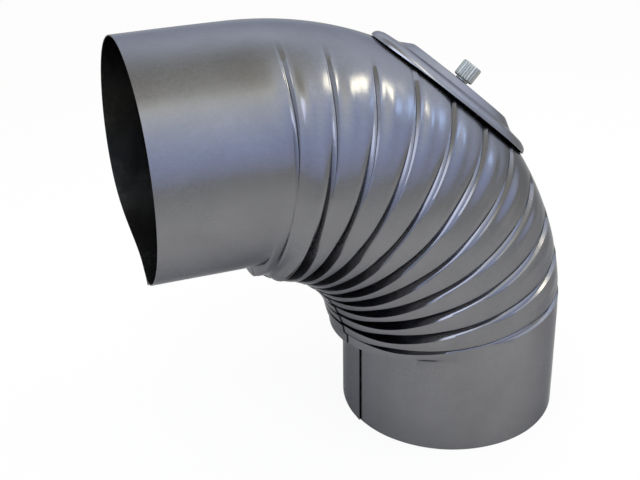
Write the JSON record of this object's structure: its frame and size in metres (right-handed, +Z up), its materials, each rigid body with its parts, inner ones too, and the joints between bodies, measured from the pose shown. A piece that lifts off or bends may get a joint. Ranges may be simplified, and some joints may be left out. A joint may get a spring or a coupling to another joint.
{
  "type": "stove pipe elbow",
  "caption": "Pleated sheet-steel flue elbow that turns a round stove pipe through a right angle, with an oval cleaning cover on the outside of the bend held by a knurled nut.",
  "frame": {"origin": "centre of the lower mouth", "axes": "+Z up the lower leg, -X along the other leg towards its mouth, Y parallel to the bend axis"},
  "size_m": [0.29, 0.1624, 0.29],
  "materials": {
    "elbow_body": "satin",
    "cleaning_cover": "satin",
    "clamp_bar": "satin",
    "clamp_stud": "satin",
    "knurled_nut": "satin"
  },
  "bodies": {
    "elbow": {"elbow_body": "elbow_body", "clamp_bar": "clamp_bar", "clamp_stud": "clamp_stud"},
    "cover": {"cleaning_cover": "cleaning_cover"},
    "nut": {"knurled_nut": "knurled_nut"}
  },
  "joints": [
    {"name": "cover_lift", "type": "slide", "parent": "elbow", "child": "cover", "axis": [0.6665, 0, 0.7455], "range_m": [0, 0.06]},
    {"name": "nut_turn", "type": "hinge", "parent": "cover", "child": "nut", "pos_m": [0.00405, 0, 0.23682], "axis": [0.6665, 0, 0.7455], "continuous": true}
  ]
}
